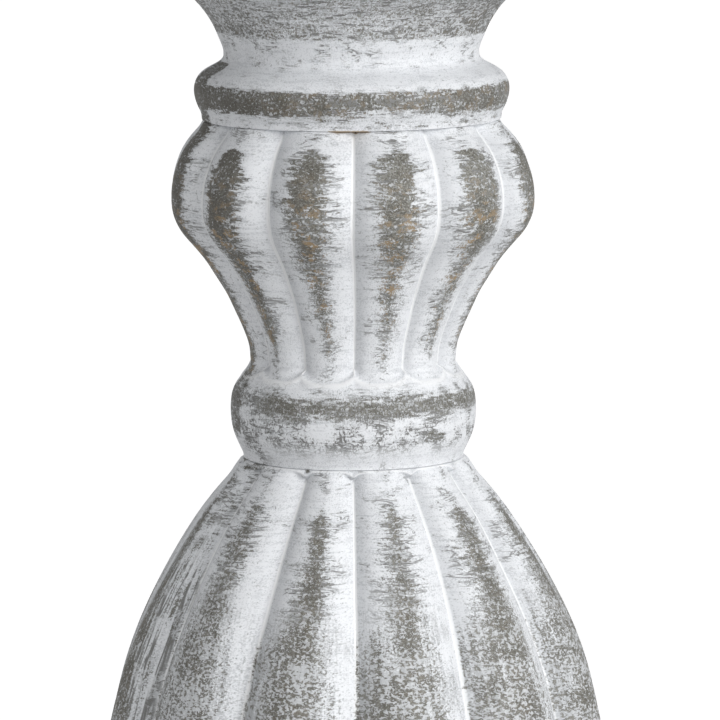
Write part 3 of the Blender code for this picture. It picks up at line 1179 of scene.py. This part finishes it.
# Sun lamps: name, azimuth from the front to the right, elevation, strength, spread in degrees.
LAMPS = (
    ("key", 47, 16, 2.42, 42),
    ("fill", -40, 15, 0.32, 45),
    ("top", 0, 80, 0.42, 45),
)

# How bright the room is, how much light the floor sends up, and how much it adds to its own white.
ROOM = 0.365
FLOOR_BOUNCE = 0.50
FLOOR_GLOW = 0.40


def studio():
    """A pale floor, a soft key light from the right, a soft top light, and a pale room."""
    bpy.ops.object.select_all(action="DESELECT")
    bpy.ops.mesh.primitive_plane_add(size=60)
    floor = bpy.context.object
    floor.name = "floor"
    floor.data.materials.append(studio_floor())
    for name, azimuth, elevation, strength, spread in LAMPS:
        lamp = bpy.data.lights.new(name, "SUN")
        lamp.energy = strength
        lamp.angle = math.radians(spread)
        light = bpy.data.objects.new(name, lamp)
        bpy.context.scene.collection.objects.link(light)
        turned, raised = math.radians(azimuth), math.radians(elevation)
        towards = Vector(
            (
                math.sin(turned) * math.cos(raised),
                -math.cos(turned) * math.cos(raised),
                math.sin(raised),
            )
        )
        light.rotation_mode = "QUATERNION"
        light.rotation_quaternion = towards.to_track_quat("Z", "Y")
    world = bpy.data.worlds.new("room")
    world.use_nodes = True
    air = world.node_tree.nodes["Background"]
    seen = world.node_tree.nodes.new("ShaderNodeLightPath").outputs["Is Camera Ray"]
    tone = world.node_tree.nodes.new("ShaderNodeMix")
    tone.data_type = "RGBA"
    tone.inputs[6].default_value = (*[ROOM] * 3, 1)
    tone.inputs[7].default_value = (1.05, 1.05, 1.05, 1)
    world.node_tree.links.new(seen, tone.inputs[0])
    world.node_tree.links.new(tone.outputs[2], air.inputs["Color"])
    air.inputs["Strength"].default_value = 1.0
    bpy.context.scene.world = world
    bpy.context.scene.view_settings.view_transform = "Standard"


def camera():
    """A long lens from the front, a little above, on the waist of the candlestick."""
    distance = 2.0
    frame_width = 0.2016
    down = math.radians(7.3)
    roll = math.radians(-0.34)
    target = Vector((0.0019, 0.0, 0.2066))
    lens = bpy.data.cameras.new("camera")
    lens.sensor_width = 36.0
    lens.lens = lens.sensor_width * distance / frame_width
    lens.clip_end = 100
    eye = bpy.data.objects.new("camera", lens)
    bpy.context.scene.collection.objects.link(eye)
    back = Vector((0, -math.cos(down), math.sin(down)))
    eye.location = target + back * distance
    eye.rotation_mode = "QUATERNION"
    upright = (-back).to_track_quat("-Z", "Y")
    eye.rotation_quaternion = upright @ Matrix.Rotation(roll, 3, "Z").to_quaternion()
    bpy.context.scene.camera = eye


camera()
studio()
painted = whitewash()
mount(foot(), "stand", painted, "painted_wood", "foot")
mount(lower_bulb(), "stand", painted, "painted_wood", "lower_bulb")
mount(upper_bulb(), "stand", painted, "painted_wood", "upper_bulb")
mount(dish(), "stand", painted, "painted_wood", "dish")
mount(drip_pan(), "pan", pressed_sheet(), "pan_metal", "drip_pan")
bright = turned_steel("spike_bright", colour(190, 190, 188), colour(140, 140, 140), 0.30)
mount(spike(), "stand", bright, "spike_steel", "spike")
felt = pressed_felt()
for pad in (1, 2, 3, 4):
    mount(felt_pad(pad), "stand", felt, "felt", f"felt_pad_{pad}")
zinc = turned_steel("zinc_plated", colour(206, 198, 172), colour(160, 152, 124), 0.34)
dress(zinc, "foot_screw_1", "foot_screw_2", "foot_screw_3")
dress(dowel_wood(), "foot_dowel", "middle_dowel", "dish_dowel")
